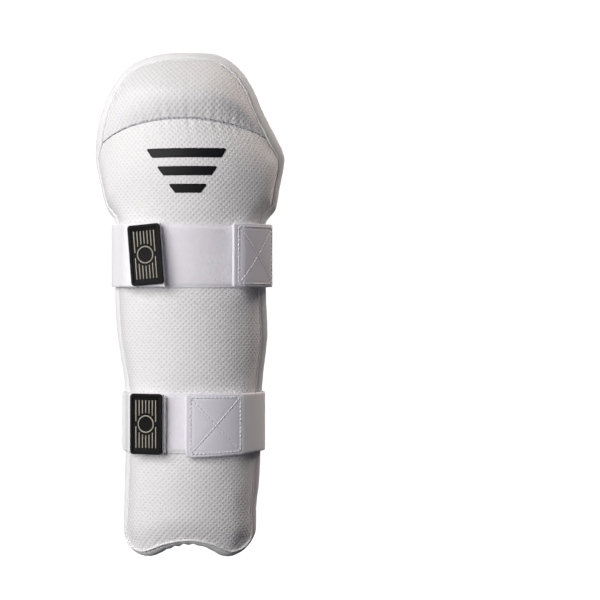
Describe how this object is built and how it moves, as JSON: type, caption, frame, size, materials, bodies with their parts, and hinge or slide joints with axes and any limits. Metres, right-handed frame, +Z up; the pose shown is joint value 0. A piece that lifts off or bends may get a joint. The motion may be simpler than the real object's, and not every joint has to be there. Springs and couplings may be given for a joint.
{
  "type": "batters leg guard",
  "caption": "Padded knee-and-shin shield, curved round the front of the leg, with a padded rim, a ribbed foam liner and two wide wrap-round straps.",
  "frame": {"origin": "where the shin sits: on the liner's inner face at the middle of the front, between the two straps", "axes": "+Z up along the leg from ankle to knee, -Y out of the guard's front, +Y into the leg, +X to the right as the guard is faced"},
  "size_m": [0.1516, 0.1337, 0.4003],
  "materials": {
    "mesh_cover": "perforated warp-knit polyester over foam",
    "rim_cloth": "padded knit rim",
    "liner_foam": "knit-faced foam",
    "strap_elastic": "woven elastic",
    "loop_pile": "brushed loop pile",
    "hook_tape": "moulded hook tape",
    "label_rubber": "satin moulded rubber",
    "print": "satin heat-applied film"
  },
  "bodies": {
    "root": {"shin_pad": "mesh_cover", "knee_pad": "mesh_cover", "liner": "liner_foam", "rim": "rim_cloth", "knee_bar_1": "print", "knee_bar_2": "print", "knee_bar_3": "print", "upper_loop_panel": "loop_pile", "upper_strap": "strap_elastic", "upper_hook_patch": "hook_tape", "upper_hook_tab": "hook_tape", "upper_label": "label_rubber", "lower_loop_panel": "loop_pile", "lower_strap": "strap_elastic", "lower_hook_patch": "hook_tape", "lower_hook_tab": "hook_tape", "lower_label": "label_rubber"}
  },
  "joints": []
}
